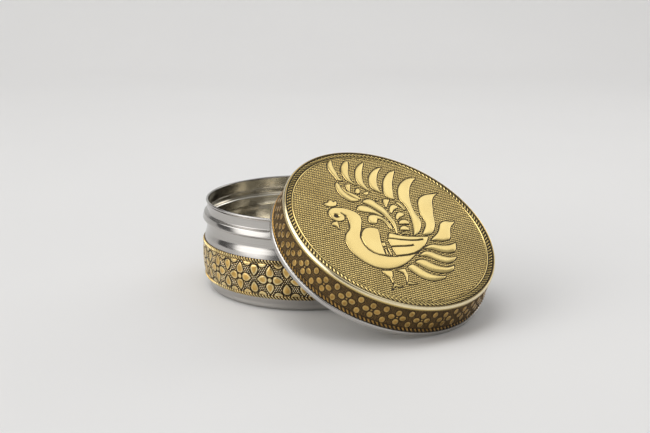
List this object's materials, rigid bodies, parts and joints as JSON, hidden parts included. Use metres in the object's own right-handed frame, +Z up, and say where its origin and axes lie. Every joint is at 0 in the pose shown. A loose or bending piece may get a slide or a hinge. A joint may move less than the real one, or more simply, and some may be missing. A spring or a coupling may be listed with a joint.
{
  "type": "dry fruit box",
  "caption": "Round steel storage box with an embossed brass belly band; its brass-faced lift-off lid leans on the rim with its hem on the table.",
  "frame": {"origin": "centre of the pot's underside, on the table it stands on", "axes": "+Z up along the pot's axis; the picture looks along +Y; the lid leans towards +X and -Y"},
  "size_m": [0.154, 0.1645, 0.0755],
  "materials": {
    "polished_steel": "bright polished stainless steel with fine turning lines",
    "belly_brass": "embossed antique brass, raised parts polished and recesses darkened",
    "skirt_brass": "embossed antique brass, darkened",
    "plate_brass": "embossed brass, raised parts polished and the field softly darkened"
  },
  "bodies": {
    "box": {"box_shell": "polished_steel", "belly_band": "belly_brass"},
    "lid": {"lid_shell": "polished_steel", "lid_skirt_band": "skirt_brass", "lid_top_plate": "plate_brass"}
  },
  "joints": [
    {"name": "lid_lift", "type": "slide", "parent": "box", "child": "lid", "axis": [0.317, -0.4116, 0.8545], "range_m": [0, 0.09]}
  ]
}
